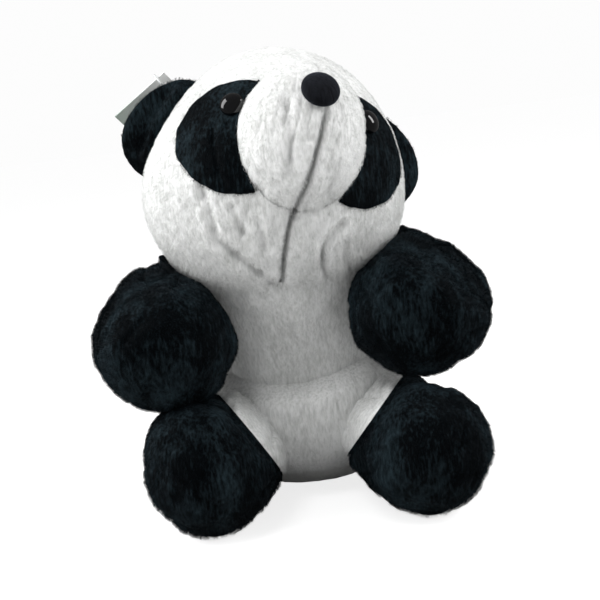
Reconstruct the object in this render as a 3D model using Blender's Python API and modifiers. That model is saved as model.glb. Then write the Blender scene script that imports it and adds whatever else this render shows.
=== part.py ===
"""A seated plush panda that looks up: sewn skins over stuffing, plastic eyes and nose, and a hang tag.

Every skin is a thin shell with an opening, and its stuffing is a solid of its own inside. The neck, the arms,
the legs and the tail turn on ball-shaped stuffed roots that sit in matching hollows of the torso.
"""
import math

import bmesh
import bpy
from mathutils import Matrix, Vector

# Driving dimensions in metres and degrees. +Z is up, the toy faces -Y, and its own left side is +X.
SKIN = 0.002                # backing and sewn pile of one skin
GAP = 0.0004                # room between touching pieces
CLEAR = 0.002               # room round a stuffed root in its hollow
LEG_CLEAR = 0.0025
LEFT = 1
RIGHT = -1

TORSO_HALF_WIDTH = 0.080
TORSO_HALF_DEPTH = 0.070
TORSO_SHIFT_Y = 0.006
TORSO_CENTRE_Z = 0.068
TORSO_HALF_HEIGHT = 0.082
TORSO_FULLNESS = 0.85       # below 1 the torso is boxier than an egg
SIDE_SEAM_Y = 0.004
YOKE_HEM_Z = 0.104

NECK_PIVOT = Vector((-0.003, -0.012, 0.143))
NECK_RADIUS = 0.030
NECK_REVEAL = 0.0080        # half of the slot between the torso's rim and the head's rim

HEAD_CENTRE = Vector((-0.0054, -0.030, 0.2264))
HEAD_YAW = 15.8
HEAD_PITCH = 20.0
HEAD_ROLL = 15.2
HEAD_HALF_WIDTH = 0.0905
HEAD_FRONT_DEPTH = 0.090
HEAD_BACK_DEPTH = 0.079
HEAD_HALF_HEIGHT = 0.0915
TEMPLE_DENT = 0.12          # how far the sides draw in round the ears, as a share of the radius
TEMPLE_SPREAD = 30.0
TEMPLE_AZIMUTH = 100.0
TEMPLE_ELEVATION = 28.0

MUZZLE_CENTRE = Vector((0.0, -0.078, 0.002))
MUZZLE_HALF = Vector((0.0415, 0.045, 0.048))
MUZZLE_LIFT = 0.25          # the muzzle's front leans up by this share of its depth

PATCH_CENTRE = Vector((0.0375, 0.0, 0.003))
PATCH_HALF_WIDTH = 0.0395
PATCH_HALF_HEIGHT = 0.0415
PATCH_LOW = 0.0003
PATCH_HIGH = 0.0018

EYE_AZIMUTH = 30.4
EYE_ELEVATION = 12.7
EYE_RADIUS = 0.0085
EYE_HEIGHT = 0.0055
EYE_SEAT = 0.0922           # from the head's centre to the flat back of the eye
POST_RADIUS = 0.002
POST_LENGTH = 0.014
WASHER_RADIUS = 0.008
WASHER_THICKNESS = 0.002
WASHER_DEPTH = 0.010        # from the flat back of the eye or nose
POCKET_ABOVE = 0.004        # the post's hole, and the pocket for its washer, from that same flat back
POCKET_TOP = 0.0055
POCKET_FLOOR = 0.0157

NOSE_SEAT = Vector((0.0015, -0.1237, 0.0192))
NOSE_TILT = 16.0
NOSE_RADIUS = 0.0124
NOSE_HEIGHT = 0.0062

EAR_AZIMUTH = 102.0
EAR_ELEVATION = 23.5
EAR_HINGE_REACH = 0.0795    # from the head's centre to the ear's hinge line
EAR_HALF_CHORD = 0.039
EAR_HEIGHT = 0.031
EAR_HALF_THICKNESS = 0.007
EAR_SLANT = 8.0             # how far the ear's chord leans from the head's upright

ARM_REST = {
    LEFT: (Vector((0.064, 0.022, 0.130)), Vector((0.1150, -0.010, 0.162)), Vector((0.0850, -0.092, 0.1365))),
    RIGHT: (Vector((-0.064, 0.022, 0.130)), Vector((-0.1150, -0.010, 0.158)), Vector((-0.0935, -0.092, 0.1345))),
}
ARM_RADII = (0.033, 0.0400, 0.0455)
ARM_SWING_IN = 5.0
ARM_AXIS_LEAN = 30.0        # how far the swing axis leans from upright, so an opening arm also rises

LEG_REST = {
    LEFT: (Vector((0.050, -0.036, 0.046)), Vector((0.062, -0.085, 0.042)), Vector((0.0725, -0.117, 0.0440))),
    RIGHT: (Vector((-0.050, -0.036, 0.046)), Vector((-0.060, -0.080, 0.042)), Vector((-0.0710, -0.108, 0.0440))),
}
LEG_RADII = (0.040, 0.040, 0.0440)
LEG_SWING_IN = 8.0
MOUTH_DEPTH = 0.82          # where the skin of a limb opens inside its hollow, as a share of the root radius
THIGH_SEAM = {   # the plane between a leg's white and black cloth: which way it faces, and how far it is from the origin
    LEFT: (Vector((0.739, -0.213, -0.639)), 0.0106),
    RIGHT: (Vector((-0.841, -0.202, -0.502)), 0.0222),
}
FLOOR_LIFT = 0.0003         # the feet end this far above the surface that the torso sits on

TAIL_PIVOT = Vector((0.0, 0.070, 0.034))
TAIL_HALF = Vector((0.021, 0.022, 0.019))

TAG_WIDTH = 0.0475
TAG_LENGTH = 0.046
TAG_THICKNESS = 0.0007
TAG_HOLE_RADIUS = 0.0028
TAG_HOLE_INSET = 0.0095     # from the hole to the card's free edge
TAG_HOLE_OFFSET = 0.0171    # from the hole to the card's middle line
TAG_HOLE_SPOT = Vector((0.0284, 0.0101, 0.0232))   # in the ear's frame, behind its rim
TAG_SLANT = 13.0
TAG_LEAN = 55.2             # the card leans back from the ear's plane by this much
TAG_TWIST = -13.1
LOOP_RADIUS = 0.0062
LOOP_SHIFT = 0.0055         # the loop's centre, from the hole towards the card's free edge
LOOP_THICKNESS = 0.0008

HEAD_MESH = (24, 16)
TORSO_MESH = (20, 14)
MUZZLE_MESH = (16, 12)
LIMB_MESH = (14, 12)
SMALL_MESH = (12, 8)
CUTTER_MESH = (16, 12)
LIMB_ROOM_MESH = (14, 12)


# Scene, collections and materials
def clear_scene():
    for old in list(bpy.data.objects):
        bpy.data.objects.remove(old, do_unlink=True)


def new_collection(name):
    collection = bpy.data.collections.new(name)
    bpy.context.scene.collection.children.link(collection)
    return collection


def make_material(name, colour, roughness, metallic=0.0):
    material = bpy.data.materials.new(name)
    material.use_nodes = True
    shader = material.node_tree.nodes["Principled BSDF"]
    shader.inputs["Base Color"].default_value = (*colour, 1.0)
    shader.inputs["Roughness"].default_value = roughness
    shader.inputs["Metallic"].default_value = metallic
    return material


clear_scene()
PARTS = new_collection("plush_panda")
CUTTERS = new_collection("plush_panda_cutters")
WHITE = make_material("white_plush", (0.86, 0.86, 0.85), 0.9)
BLACK = make_material("black_plush", (0.012, 0.014, 0.022), 0.85)
STUFFING = make_material("polyester_stuffing", (0.80, 0.80, 0.78), 1.0)
EYE_PLASTIC = make_material("black_gloss_plastic", (0.004, 0.004, 0.005), 0.06)
NOSE_FLOCK = make_material("flocked_black_plastic", (0.010, 0.010, 0.012), 0.8)
WASHER_PLASTIC = make_material("natural_plastic", (0.75, 0.74, 0.70), 0.45)
CARD = make_material("tag_card", (0.62, 0.68, 0.64), 0.5)
LOOP_PLASTIC = make_material("clear_loop_plastic", (0.82, 0.84, 0.84), 0.3)


# Objects, cutters and empties
def add_object(name, mesh, material, parent=None):
    part = bpy.data.objects.new(name, mesh)
    PARTS.objects.link(part)
    mesh.materials.append(material)
    part.parent = parent
    return part


def add_cutter(name, mesh, parent=None):
    cutter = bpy.data.objects.new(name, mesh)
    CUTTERS.objects.link(cutter)
    cutter.parent = parent
    cutter.hide_render = True
    cutter.display_type = "WIRE"
    return cutter


def add_empty(name, matrix, parent=None):
    empty = bpy.data.objects.new(name, None)
    PARTS.objects.link(empty)
    empty.parent = parent
    empty.matrix_local = matrix
    return empty


def boolean(part, operation, *cutters):
    for cutter in cutters:
        modifier = part.modifiers.new(operation.lower() + "_" + cutter.name, "BOOLEAN")
        modifier.operation = operation
        modifier.solver = "EXACT"
        modifier.object = cutter


def mesh_from(bm, name, smooth=True):
    mesh = bpy.data.meshes.new(name)
    bm.to_mesh(mesh)
    bm.free()
    if smooth:
        mesh.shade_smooth()
    return mesh


def soft_mesh(name, place, resolution):
    """A ball whose every unit direction is moved to place(direction), with alike diagonals on nested shapes."""
    bm = bmesh.new()
    bmesh.ops.create_uvsphere(bm, u_segments=resolution[0], v_segments=resolution[1], radius=1.0)
    for vertex in bm.verts:
        vertex.co = place(vertex.co.normalized())
    bmesh.ops.triangulate(bm, faces=bm.faces, quad_method="FIXED")
    return mesh_from(bm, name)


def block_mesh(name, low, high):
    bm = bmesh.new()
    size = Vector(high) - Vector(low)
    middle = (Vector(high) + Vector(low)) / 2
    bmesh.ops.create_cube(bm, size=1.0, matrix=Matrix.Translation(middle) @ Matrix.Diagonal((*size, 1.0)))
    return mesh_from(bm, name, smooth=False)


def cylinder_mesh(name, radius, low, high, segments=24):
    """A cylinder along Z from low to high."""
    bm = bmesh.new()
    matrix = Matrix.Translation((0, 0, (low + high) / 2))
    bmesh.ops.create_cone(bm, cap_ends=True, segments=segments, radius1=radius, radius2=radius,
                          depth=high - low, matrix=matrix)
    return mesh_from(bm, name)


def turned_mesh(name, profile, steps=20, ring=False):
    """The solid that an outline of (radius, height) points sweeps round Z, top point first down its outer side."""
    line = bpy.data.meshes.new(name + "_outline")
    points = [(radius, 0.0, height) for radius, height in profile]
    edges = [(i, i + 1) for i in range(len(points) - 1)]
    if ring:
        edges.append((len(points) - 1, 0))
    line.from_pydata(points, edges, [])
    outline = bpy.data.objects.new(name + "_outline", line)
    CUTTERS.objects.link(outline)
    screw = outline.modifiers.new("turn", "SCREW")
    screw.steps = steps
    screw.render_steps = steps
    screw.use_merge_vertices = True
    screw.merge_threshold = 0.00005
    bpy.context.view_layer.update()
    mesh = bpy.data.meshes.new_from_object(outline.evaluated_get(bpy.context.evaluated_depsgraph_get()))
    mesh.name = name
    bpy.data.objects.remove(outline, do_unlink=True)
    mesh.shade_smooth()
    return mesh


def direction(azimuth, elevation):
    """A unit vector: azimuth turns from straight ahead (-Y) to +X, elevation rises to +Z."""
    turn = math.radians(azimuth)
    rise = math.radians(elevation)
    return Vector((math.sin(turn) * math.cos(rise), -math.cos(turn) * math.cos(rise), math.sin(rise)))


def frame_along(axis, upright):
    """A rotation whose +Z is axis and whose +Y is as near upright as it can be."""
    z = axis.normalized()
    x = upright.cross(z).normalized()
    y = z.cross(x)
    return Matrix((x, y, z)).transposed().to_4x4()


# Soft shapes
def torso_point(unit, inset=0.0):
    polar = math.acos(max(-1.0, min(1.0, -unit.z)))
    round_share = math.sin(polar) ** TORSO_FULLNESS if 0.0 < polar < math.pi else 0.0
    flat = Vector((unit.x, unit.y, 0.0))
    if flat.length > 0.0:
        flat.normalize()
    x = flat.x * (TORSO_HALF_WIDTH - inset) * round_share
    y = flat.y * (TORSO_HALF_DEPTH - inset) * round_share + TORSO_SHIFT_Y
    z = TORSO_CENTRE_Z - math.cos(polar) * (TORSO_HALF_HEIGHT - inset)
    return Vector((x, y, max(z, inset)))


def head_radius(unit):
    depth = HEAD_FRONT_DEPTH if unit.y < 0.0 else HEAD_BACK_DEPTH
    parts = (unit.x / HEAD_HALF_WIDTH, unit.y / depth, unit.z / HEAD_HALF_HEIGHT)
    radius = 1.0 / math.sqrt(sum(part * part for part in parts))
    for side in (LEFT, RIGHT):
        away = math.degrees(unit.angle(direction(side * TEMPLE_AZIMUTH, TEMPLE_ELEVATION)))
        radius *= 1.0 - TEMPLE_DENT * math.exp(-((away / TEMPLE_SPREAD) ** 2))
    return radius


def head_point(unit, grow=0.0):
    return unit * (head_radius(unit) + grow)


def muzzle_point(unit, grow=0.0):
    half = MUZZLE_HALF + Vector((grow, grow, grow))
    offset = Vector((unit.x * half.x, unit.y * half.y, unit.z * half.z))
    offset.z -= MUZZLE_LIFT * min(offset.y, 0.0) * (1.0 - abs(unit.z) * 0.4)
    return MUZZLE_CENTRE + offset


def ear_point(unit, grow=0.0):
    """A half disc that stands on a round hinge roll along X."""
    tall = EAR_HEIGHT if unit.z > 0.0 else EAR_HALF_THICKNESS
    return Vector((unit.x * (EAR_HALF_CHORD + grow), unit.y * (EAR_HALF_THICKNESS + grow), unit.z * (tall + grow)))


def clear_of_head(point, room):
    """Keep a point outside the ball that the head fills, by at least room."""
    away = point - HEAD_CENTRE
    nearest = HEAD_HALF_WIDTH + room
    if away.length < nearest:
        away = away.normalized() * nearest
    return HEAD_CENTRE + away


def limb_point(unit, path, radii, grow=0.0):
    """A stuffed tube from a ball root at path[0], bent towards path[1], to a round end at path[2]."""
    root_share = 0.27
    end_share = 0.30
    polar = math.acos(max(-1.0, min(1.0, -unit.z))) / math.pi
    turn = math.atan2(unit.y, unit.x)
    root, bend, end = path
    share = max(0.0, min(1.0, (polar - root_share) / (1.0 - root_share - end_share)))
    centre = root * (1 - share) ** 2 + bend * 2 * share * (1 - share) + end * share ** 2
    axis = ((bend - root) * (1 - share) + (end - bend) * share).normalized()
    side = axis.cross(Vector((0.0, 0.0, 1.0))).normalized()
    radial = side * math.cos(turn) + axis.cross(side) * math.sin(turn)
    radius = radii[0] * (1 - share) ** 2 + radii[1] * 2 * share * (1 - share) + radii[2] * share ** 2 + grow
    if polar < root_share:
        angle = polar / root_share * math.pi / 2
        return centre - axis * radius * math.cos(angle) + radial * radius * math.sin(angle)
    if polar > 1.0 - end_share:
        angle = (1.0 - polar) / end_share * math.pi / 2
        return centre + axis * radius * math.cos(angle) + radial * radius * math.sin(angle)
    return centre + radial * radius


# Frames: every moving piece hangs on an empty that sits on its joint's axis
def head_rotation():
    yaw = Matrix.Rotation(math.radians(HEAD_YAW), 4, "Z")
    pitch = Matrix.Rotation(math.radians(-HEAD_PITCH), 4, "X")
    roll = Matrix.Rotation(math.radians(HEAD_ROLL), 4, "Y")
    return yaw @ pitch @ roll


NECK_AXIS = (HEAD_CENTRE - NECK_PIVOT).normalized()
torso_frame = add_empty("torso_frame", Matrix.Identity(4))
neck_pivot = add_empty("neck_turn_pivot", Matrix.Translation(NECK_PIVOT), torso_frame)
head_pivot = add_empty("neck_nod_pivot", Matrix.Identity(4), neck_pivot)
head_frame = add_empty("head_frame", Matrix.Translation(HEAD_CENTRE - NECK_PIVOT) @ head_rotation(), head_pivot)


def ear_matrix(side):
    outward = direction(side * EAR_AZIMUTH, EAR_ELEVATION)
    slant = math.radians(side * EAR_SLANT)
    upright = Vector((0.0, -math.sin(abs(slant)), math.cos(slant)))
    chord = (upright - outward * upright.dot(outward)).normalized()
    along = chord * -side
    rotation = Matrix((along, outward.cross(along), outward)).transposed().to_4x4()
    return Matrix.Translation(outward * EAR_HINGE_REACH) @ rotation


# Cutters that several pieces share
def slab(name, matrix, sign):
    """A half space: the side of matrix's Z = 0 plane that sign points to."""
    reach = 0.2
    low, high = (0.0, reach) if sign > 0 else (-reach, 0.0)
    cutter = add_cutter(name, block_mesh(name, (-reach, -reach, low), (reach, reach, high)))
    cutter.matrix_world = matrix
    return cutter


def make_neck_cutters():
    up = frame_along(NECK_AXIS, Vector((0.0, 1.0, 0.0)))
    high = Matrix.Translation(NECK_PIVOT + NECK_AXIS * NECK_REVEAL) @ up
    low = Matrix.Translation(NECK_PIVOT - NECK_AXIS * NECK_REVEAL) @ up
    ball = soft_mesh("neck_hollow", lambda unit: unit * (NECK_RADIUS + CLEAR), CUTTER_MESH)
    hollow = add_cutter("neck_hollow", ball, neck_pivot)
    return hollow, slab("under_head", high, -1), slab("over_torso", low, 1)


neck_hollow, under_head, over_torso = make_neck_cutters()


def limb_cutters(name, path, radii, grow, swings, axis):
    """Hollows for one limb, at rest and swung by each of the given angles about its root."""
    cutters = []
    local = tuple(point - path[0] for point in path)
    for number, swing in enumerate((0.0,) + swings):
        label = f"{name}_room_{number}"
        room = grow if number == 0 else grow * 0.3
        mesh = soft_mesh(label, lambda unit: limb_point(unit, local, radii, room), LIMB_ROOM_MESH)
        cutter = add_cutter(label, mesh)
        cutter.matrix_world = Matrix.Translation(path[0]) @ Matrix.Rotation(math.radians(swing), 4, axis)
        cutters.append(cutter)
    return cutters


def arm_axis(side):
    lean = math.radians(ARM_AXIS_LEAN)
    return Vector((-math.sin(lean), 0.0, side * math.cos(lean)))


LEG_AXIS = {LEFT: Vector((0.0, 0.0, 1.0)), RIGHT: Vector((0.0, 0.0, -1.0))}
SIDES = ((LEFT, "left"), (RIGHT, "right"))
torso_room = [over_torso, neck_hollow]
for side, word in SIDES:
    torso_room += limb_cutters("arm_" + word, ARM_REST[side], ARM_RADII, CLEAR, (-ARM_SWING_IN,), arm_axis(side))
    torso_room += limb_cutters("leg_" + word, LEG_REST[side], LEG_RADII, LEG_CLEAR, (-LEG_SWING_IN,), LEG_AXIS[side])


# Torso and tail
def tail_point(unit, grow=0.0):
    half = TAIL_HALF + Vector((grow, grow, grow))
    return Vector((unit.x * half.x, unit.y * half.y + TAIL_HALF.y * 0.35, unit.z * half.z))


def make_torso():
    hollow = add_cutter("torso_hollow", soft_mesh("torso_hollow", lambda unit: torso_point(unit, SKIN), TORSO_MESH))
    tail_room = soft_mesh("tail_room", lambda unit: tail_point(unit, CLEAR), CUTTER_MESH)
    tail_cutter = add_cutter("tail_room", tail_room)
    tail_cutter.location = TAIL_PIVOT
    ahead = Matrix.Translation((0.0, SIDE_SEAM_Y, 0.0)) @ Matrix.Rotation(math.radians(90), 4, "X")
    behind = Matrix.Translation((0.0, SIDE_SEAM_Y + GAP, 0.0)) @ Matrix.Rotation(math.radians(90), 4, "X")
    cut_front = slab("ahead_of_seam", behind, 1)
    cut_back = slab("behind_seam", ahead, -1)
    below_hem = slab("below_yoke_hem", Matrix.Translation((0.0, 0.0, YOKE_HEM_Z + GAP)), -1)
    above_hem = slab("above_yoke_hem", Matrix.Translation((0.0, 0.0, YOKE_HEM_Z)), 1)
    panels = (
        ("torso_front_skin", WHITE, (cut_back,)),
        ("torso_back_skin", WHITE, (cut_front, above_hem)),
        ("shoulder_yoke_skin", BLACK, (cut_front, below_hem)),
    )
    for name, material, splits in panels:
        panel = add_object(name, soft_mesh(name, torso_point, TORSO_MESH), material, torso_frame)
        boolean(panel, "DIFFERENCE", hollow, *splits, *torso_room, tail_cutter)
    inside = soft_mesh("torso_filling", lambda unit: torso_point(unit, SKIN + GAP), TORSO_MESH)
    filling = add_object("torso_filling", inside, STUFFING, torso_frame)
    boolean(filling, "DIFFERENCE", *torso_room, tail_cutter)


def make_tail():
    pivot = add_empty("tail_pivot", Matrix.Translation(TAIL_PIVOT), torso_frame)
    hollow = add_cutter("tail_hollow", soft_mesh("tail_hollow", lambda unit: tail_point(unit, -SKIN), SMALL_MESH), pivot)
    mouth = Matrix.Translation(TAIL_PIVOT - Vector((0.0, 0.006, 0.0))) @ Matrix.Rotation(math.radians(90), 4, "X")
    skin = add_object("tail_skin", soft_mesh("tail_skin", tail_point, SMALL_MESH), WHITE, pivot)
    boolean(skin, "DIFFERENCE", hollow, slab("tail_mouth", mouth, 1))
    inside = soft_mesh("tail_filling", lambda unit: tail_point(unit, -SKIN - GAP), SMALL_MESH)
    add_object("tail_filling", inside, STUFFING, pivot)


# Arms and legs
def thigh_seam(side, word):
    """The two sides of the slanted plane where a leg's white cloth ends and its black cloth begins."""
    normal, reach = THIGH_SEAM[side]
    turn = frame_along(normal, Vector((0.0, 0.0, 1.0)))
    behind = slab(f"behind_thigh_seam_{word}", Matrix.Translation(normal * reach) @ turn, -1)
    ahead = slab(f"ahead_of_thigh_seam_{word}", Matrix.Translation(normal * (reach - GAP)) @ turn, 1)
    return behind, ahead


def make_limb(kind, side, word, path, radii, near_head):
    pivot = add_empty(f"{kind}_{word}_pivot", Matrix.Translation(path[0]), torso_frame)

    def surface(inset):
        def place(unit):
            point = limb_point(unit, path, radii, -inset)
            if near_head:
                point = clear_of_head(point, 0.0045 + inset)
            point.z = max(point.z, FLOOR_LIFT + inset)
            return point - path[0]
        return place

    name = f"{kind}_{word}"
    hollow = add_cutter(name + "_hollow", soft_mesh(name + "_hollow", surface(SKIN), LIMB_MESH), pivot)
    axis = (path[1] - path[0]).normalized()
    mouth = Matrix.Translation(path[0] - axis * radii[0] * MOUTH_DEPTH) @ frame_along(axis, Vector((0.0, 0.0, 1.0)))
    mouth_cutter = slab(name + "_mouth", mouth, -1)
    panels = [(name + "_skin", BLACK, ())]
    if kind == "leg":
        behind_seam, ahead_of_seam = thigh_seam(side, word)
        panels = [(name + "_skin", BLACK, (behind_seam,)), (f"thigh_{word}_skin", WHITE, (ahead_of_seam,))]
    for panel, material, splits in panels:
        skin = add_object(panel, soft_mesh(panel, surface(0.0), LIMB_MESH), material, pivot)
        boolean(skin, "DIFFERENCE", hollow, mouth_cutter, *splits)
    inside = soft_mesh(name + "_filling", surface(SKIN + GAP), LIMB_MESH)
    add_object(name + "_filling", inside, STUFFING, pivot)


# Head
def make_neck():
    ball = soft_mesh("neck_filling", lambda unit: unit * NECK_RADIUS, TORSO_MESH)
    add_object("neck_filling", ball, STUFFING, neck_pivot)


def post_room(name, seat, parent):
    """The hole for a post through the skins, and the pocket in the stuffing for its washer, as one cutter."""
    hole = POST_RADIUS + GAP
    pocket = WASHER_RADIUS + GAP
    outline = [(0.0, POCKET_ABOVE), (hole, POCKET_ABOVE), (hole, -POCKET_TOP), (pocket, -POCKET_TOP),
               (pocket, -POCKET_FLOOR), (0.0, -POCKET_FLOOR)]
    room = add_cutter(name + "_room", turned_mesh(name + "_room", outline, 18), parent)
    room.matrix_local = seat
    return room


def make_stud(name, seat, radius, height, material):
    """A domed cap on a post, and the washer that locks it from inside."""
    dome = [(radius * math.cos(angle), height * math.sin(angle)) for angle in
            [math.radians(step * 15) for step in range(6, -1, -1)]]
    dome[0] = (0.0, height)
    profile = dome + [(POST_RADIUS, 0.0), (POST_RADIUS, -POST_LENGTH), (0.0, -POST_LENGTH)]
    cap = add_object(name, turned_mesh(name, profile), material, head_frame)
    cap.matrix_local = seat
    bore = POST_RADIUS + GAP
    top = -WASHER_DEPTH
    outline = [(bore, top), (WASHER_RADIUS, top), (WASHER_RADIUS, top - WASHER_THICKNESS),
               (bore, top - WASHER_THICKNESS)]
    turned = turned_mesh(name + "_washer", outline, ring=True)
    washer = add_object(name + "_washer", turned, WASHER_PLASTIC, head_frame)
    washer.matrix_local = seat


def patch_outline(side, name):
    bm = bmesh.new()
    spin = Matrix.Rotation(math.radians(90), 4, "X")
    stretch = Matrix.Diagonal((PATCH_HALF_WIDTH, PATCH_HALF_HEIGHT, 1.0, 1.0))
    bmesh.ops.create_cone(bm, cap_ends=True, segments=32, radius1=1.0, radius2=1.0, depth=0.08, matrix=spin @ stretch)
    shift = Vector((side * PATCH_CENTRE.x, -0.08, PATCH_CENTRE.z))
    bmesh.ops.translate(bm, verts=bm.verts, vec=shift)
    return mesh_from(bm, name)


def make_ear(side, word):
    hinge = add_empty(f"ear_{word}_hinge", ear_matrix(side), head_frame)
    name = f"ear_{word}"
    hollow = soft_mesh(name + "_hollow", lambda unit: ear_point(unit, -SKIN * 0.8), SMALL_MESH)
    hollow_cutter = add_cutter(name + "_hollow", hollow, hinge)
    reach = 0.1
    for panel, low, high in (("front", -GAP / 2, reach), ("back", -reach, GAP / 2)):
        skin_name = f"{name}_{panel}_skin"
        half = block_mesh(skin_name + "_split", (-reach, low, -reach), (reach, high, reach))
        split = add_cutter(skin_name + "_split", half, hinge)
        skin = add_object(skin_name, soft_mesh(skin_name, ear_point, SMALL_MESH), BLACK, hinge)
        boolean(skin, "DIFFERENCE", hollow_cutter, split)
    inside = soft_mesh(name + "_filling", lambda unit: ear_point(unit, -SKIN * 0.8 - GAP), SMALL_MESH)
    add_object(name + "_filling", inside, STUFFING, hinge)
    return hinge


def ear_groove(side, word):
    """The channel in the head that the ear's hinge roll turns in."""
    def place(unit):
        radius = EAR_HALF_THICKNESS + 0.0015
        return Vector((unit.x * (EAR_HALF_CHORD + 0.003), unit.y * radius, unit.z * radius))

    groove = add_cutter(f"ear_{word}_groove", soft_mesh(f"ear_{word}_groove", place, CUTTER_MESH), head_frame)
    groove.matrix_local = ear_matrix(side)
    return groove


def make_head():
    seats = {}
    for side, word in SIDES:
        outward = direction(side * EYE_AZIMUTH, EYE_ELEVATION)
        seats[f"eye_{word}"] = Matrix.Translation(outward * EYE_SEAT) @ frame_along(outward, Vector((0, 0, 1)))
    nose_out = direction(0.0, NOSE_TILT)
    nose_seat = Matrix.Translation(NOSE_SEAT) @ frame_along(nose_out, Vector((0, 0, 1)))
    rooms = {name: post_room(name, seat, head_frame) for name, seat in seats.items()}
    nose_room = post_room("nose", nose_seat, head_frame)
    grooves = [ear_groove(side, word) for side, word in SIDES]

    def head_cutter(name, grow):
        return add_cutter(name, soft_mesh(name, lambda unit: head_point(unit, grow), HEAD_MESH), head_frame)

    def muzzle_cutter(name, grow):
        return add_cutter(name, soft_mesh(name, lambda unit: muzzle_point(unit, grow), MUZZLE_MESH), head_frame)

    hollow = head_cutter("head_hollow", -SKIN)
    muzzle_room = muzzle_cutter("muzzle_room", GAP)
    muzzle_hollow = muzzle_cutter("muzzle_hollow", -SKIN)
    head_core = head_cutter("head_core", -SKIN)
    reach = 0.2
    eye_rooms = list(rooms.values())
    for side, word in SIDES:
        low = -reach if side > 0 else -GAP / 2
        high = GAP / 2 if side > 0 else reach
        name = f"head_{word}_skin"
        other = add_cutter(name + "_split", block_mesh(name + "_split", (low, -reach, -reach), (high, reach, reach)),
                           head_frame)
        skin = add_object(name, soft_mesh(name, head_point, HEAD_MESH), WHITE, head_frame)
        boolean(skin, "DIFFERENCE", hollow, other, muzzle_room, under_head, neck_hollow, *grooves, *eye_rooms)
    core = soft_mesh("head_filling", lambda unit: head_point(unit, -SKIN - GAP), HEAD_MESH)
    filling = add_object("head_filling", core, STUFFING, head_frame)
    boolean(filling, "DIFFERENCE", under_head, neck_hollow, *grooves, *eye_rooms)

    muzzle = add_object("muzzle_skin", soft_mesh("muzzle_skin", muzzle_point, MUZZLE_MESH), WHITE, head_frame)
    boolean(muzzle, "DIFFERENCE", muzzle_hollow, head_core, nose_room)
    inner = soft_mesh("muzzle_filling", lambda unit: muzzle_point(unit, -SKIN - GAP), MUZZLE_MESH)
    muzzle_core = add_object("muzzle_filling", inner, STUFFING, head_frame)
    boolean(muzzle_core, "DIFFERENCE", head_core, nose_room)

    patch_low = head_cutter("patch_low", PATCH_LOW)
    patch_high = head_cutter("patch_high", PATCH_HIGH)
    for side, word in SIDES:
        name = f"eye_patch_{word}"
        patch = add_object(name, patch_outline(side, name), BLACK, head_frame)
        boolean(patch, "INTERSECT", patch_high)
        boolean(patch, "DIFFERENCE", patch_low, muzzle_room, rooms[f"eye_{word}"])
        make_stud(f"eye_{word}", seats[f"eye_{word}"], EYE_RADIUS, EYE_HEIGHT, EYE_PLASTIC)
    make_stud("nose", nose_seat, NOSE_RADIUS, NOSE_HEIGHT, NOSE_FLOCK)


# Hang tag behind the right ear
def tag_matrix():
    """The tag's hinge in the ear's frame: X along the card's width, Z towards its free edge."""
    slant = Matrix.Rotation(math.radians(TAG_SLANT), 4, "Y")
    lean = Matrix.Rotation(math.radians(TAG_LEAN), 4, "X")
    twist = Matrix.Rotation(math.radians(TAG_TWIST), 4, "Z")
    return Matrix.Translation(TAG_HOLE_SPOT) @ slant @ lean @ twist


def make_tag(ear_hinge):
    """A card behind the ear, and the plastic loop through the card's hole that holds it there."""
    hinge = add_empty("hang_tag_hinge", tag_matrix(), ear_hinge)
    bm = bmesh.new()
    middle = Vector((-TAG_HOLE_OFFSET, 0.0, TAG_HOLE_INSET - TAG_LENGTH / 2))
    size = Matrix.Diagonal((TAG_WIDTH, TAG_THICKNESS, TAG_LENGTH, 1.0))
    bmesh.ops.create_cube(bm, size=1.0, matrix=Matrix.Translation(middle) @ size)
    card = add_object("hang_tag_card", mesh_from(bm, "hang_tag_card", smooth=False), CARD, hinge)
    hole_cutter = add_cutter("hang_tag_hole", cylinder_mesh("hang_tag_hole", TAG_HOLE_RADIUS, -0.01, 0.01, 16), hinge)
    hole_cutter.matrix_local = Matrix.Rotation(math.radians(90), 4, "X")
    boolean(card, "DIFFERENCE", hole_cutter)

    ring = bpy.data.curves.new("hang_tag_loop", "CURVE")
    ring.dimensions = "3D"
    ring.bevel_depth = LOOP_THICKNESS
    ring.bevel_resolution = 2
    spline = ring.splines.new("POLY")
    corners = 18
    spline.points.add(corners - 1)
    for number, point in enumerate(spline.points):
        angle = 2 * math.pi * number / corners
        point.co = (0.0, LOOP_RADIUS * math.sin(angle), LOOP_SHIFT + LOOP_RADIUS * math.cos(angle), 1.0)
    spline.use_cyclic_u = True
    loop = bpy.data.objects.new("hang_tag_loop", ring)
    PARTS.objects.link(loop)
    ring.materials.append(LOOP_PLASTIC)
    loop.parent = ear_hinge
    loop.matrix_local = tag_matrix()


make_torso()
make_tail()
make_neck()
make_head()
for side, word in SIDES:
    make_limb("arm", side, word, ARM_REST[side], ARM_RADII, True)
    make_limb("leg", side, word, LEG_REST[side], LEG_RADII, False)
make_ear(LEFT, "left")
make_tag(make_ear(RIGHT, "right"))
bpy.context.view_layer.update()
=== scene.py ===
"""Looks of the plush panda: short-pile cloth skins, stuffing, glossy eyes, flocked nose and a blank tag.

Every soft piece is a fine mesh that follows the CAD solid's own shape, with the seams, folds and tufts of
the real cloth moved into its surface. All lengths are in metres; +Z is up, the toy faces -Y, and its own
left is +X.
"""
import math

import bpy
import numpy as np
from mathutils import Matrix, Vector


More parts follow.
